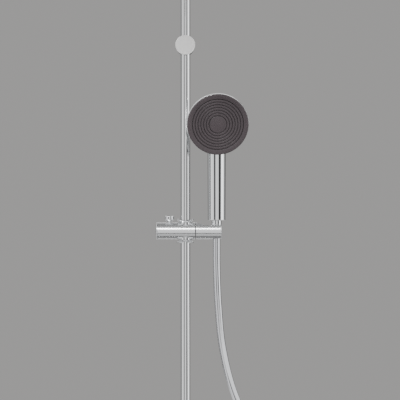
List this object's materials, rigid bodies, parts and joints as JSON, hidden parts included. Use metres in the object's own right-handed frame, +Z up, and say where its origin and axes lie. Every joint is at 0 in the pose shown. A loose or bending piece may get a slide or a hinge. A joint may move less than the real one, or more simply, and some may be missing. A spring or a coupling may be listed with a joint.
{
  "type": "rainfall shower column",
  "caption": "Wall-mounted rainfall shower column: riser with overhead rain head, bar mixer, and a slider holding a ring-faced hand shower on a silver hose.",
  "frame": {"origin": "centre of the upper bracket's wall face; the wall is the plane y = 0", "axes": "+Z up along the riser, -Y out into the room, +X to the right seen from the room"},
  "size_m": [0.4243, 0.56, 1.6577],
  "materials": {
    "chromed_metal": "polished chrome plate on brass",
    "chromed_plastic": "chrome plate on moulded plastic",
    "satin_metal": "satin",
    "zinc_steel": "plain",
    "brass": "machined",
    "face_plastic": "dark, fine satin",
    "dark_plastic": "matt",
    "white_plastic": "matt",
    "rubber": "matt",
    "silver_hose": "silver, smooth",
    "red_plastic": "gloss"
  },
  "bodies": {
    "column": {"bracket_wall_plate": "zinc_steel", "bracket_screw_left": "zinc_steel", "bracket_screw_right": "zinc_steel", "bracket_barrel": "chromed_metal", "bracket_riser_liner": "white_plastic", "bracket_front_cap": "satin_metal", "bracket_grub_screw": "zinc_steel", "riser_tube": "chromed_metal", "riser_seal": "rubber", "riser_lower_nut": "chromed_metal", "rain_arm_nut": "chromed_metal", "rain_arm_seal": "rubber", "mixer_body": "chromed_metal", "hot_inlet_union": "brass", "hot_filter_washer": "rubber", "hot_union_nut": "chromed_metal", "hot_escutcheon": "chromed_metal", "cold_inlet_union": "brass", "cold_filter_washer": "rubber", "cold_union_nut": "chromed_metal", "cold_escutcheon": "chromed_metal", "thermostat_cartridge": "brass", "flow_cartridge": "brass", "hose_mixer_nut": "chromed_metal", "hose_mixer_washer": "rubber"},
    "arm": {"rain_arm_tube": "chromed_metal", "ball_joint_ball": "chromed_metal"},
    "ball_ring": {"ball_joint_ring": "white_plastic"},
    "rain_head": {"ball_joint_nut": "chromed_metal", "rain_head_shell": "chromed_plastic", "rain_head_spray_plate": "chromed_plastic", "rain_head_nozzle_mat": "rubber"},
    "temperature": {"temperature_handle": "chromed_plastic", "temperature_handle_cap": "satin_metal", "stop_button_spring": "zinc_steel"},
    "stop_button": {"temperature_stop_button": "red_plastic"},
    "flow": {"flow_handle": "chromed_plastic", "flow_handle_cap": "satin_metal"},
    "carriage": {"guide_bush": "white_plastic", "hose": "silver_hose"},
    "slider": {"slider_housing": "chromed_metal", "collar_upper": "chromed_plastic", "collar_lower": "chromed_plastic", "slider_end_cap": "chromed_plastic", "brake_spring": "zinc_steel", "friction_washer": "rubber", "pivot_bolt": "zinc_steel"},
    "brake": {"brake_shoe": "dark_plastic"},
    "release": {"release_button": "chromed_plastic"},
    "holder": {"holder_body": "chromed_metal", "cone_insert": "dark_plastic"},
    "hose_end": {"hose_cone_nut": "chromed_metal", "hose_washer": "rubber"},
    "hand_shower": {"handset_shell": "chromed_plastic", "handset_spray_face": "face_plastic", "handset_nozzle_mat": "rubber", "handset_nipple": "brass", "handset_waterway": "white_plastic"}
  },
  "joints": [
    {"name": "arm_swivel", "type": "hinge", "parent": "column", "child": "arm", "pos_m": [0, -0.062, 0.15], "axis": [0, 0, 1], "range_deg": [-70, 70]},
    {"name": "rain_head_fore_aft", "type": "hinge", "parent": "arm", "child": "ball_ring", "pos_m": [0, -0.43, 0.19], "axis": [1, 0, 0], "range_deg": [-10, 10]},
    {"name": "rain_head_side", "type": "hinge", "parent": "ball_ring", "child": "rain_head", "pos_m": [0, -0.43, 0.19], "axis": [0, 1, 0], "range_deg": [-10, 10]},
    {"name": "temperature_turn", "type": "hinge", "parent": "column", "child": "temperature", "pos_m": [0.1, -0.062, -1.05], "axis": [1, 0, 0], "range_deg": [-120, 110]},
    {"name": "stop_button_press", "type": "slide", "parent": "temperature", "child": "stop_button", "axis": [0, 0, -1], "range_m": [0, 0.002], "stiffness_N_per_m": 600, "springref_m": -0.002, "deforming": ["stop_button_spring"]},
    {"name": "flow_turn", "type": "hinge", "parent": "column", "child": "flow", "pos_m": [-0.1, -0.062, -1.05], "axis": [1, 0, 0], "range_deg": [-75, 75]},
    {"name": "slider_height", "type": "slide", "parent": "column", "child": "carriage", "axis": [0, 0, 1], "range_m": [-0.4, 0.07], "deforming": ["hose"]},
    {"name": "slider_swivel", "type": "hinge", "parent": "carriage", "child": "slider", "pos_m": [0, -0.062, -0.363], "axis": [0, 0, 1], "range_deg": [-45, 40]},
    {"name": "release_button_press", "type": "slide", "parent": "slider", "child": "release", "axis": [0, 0, -1], "range_m": [0, 0.0018], "stiffness_N_per_m": 900, "springref_m": -0.002},
    {"name": "brake_retract", "type": "slide", "parent": "slider", "child": "brake", "axis": [-1, 0, 0], "range_m": [0, 0.0009], "deforming": ["brake_spring"]},
    {"name": "holder_tilt", "type": "hinge", "parent": "slider", "child": "holder", "pos_m": [0.02, -0.062, -0.363], "axis": [1, 0, 0], "range_deg": [-1, 50]},
    {"name": "handset_lift", "type": "slide", "parent": "holder", "child": "hose_end", "axis": [0, 0, 1], "range_m": [0, 0.06]},
    {"name": "handset_turn", "type": "hinge", "parent": "hose_end", "child": "hand_shower", "pos_m": [0.0613, -0.062, -0.363], "axis": [0, 0, 1], "range_deg": [-10, 60]}
  ],
  "couplings": [
    {"joint": "brake_retract", "follows": "release_button_press", "ratio": 0.5}
  ]
}
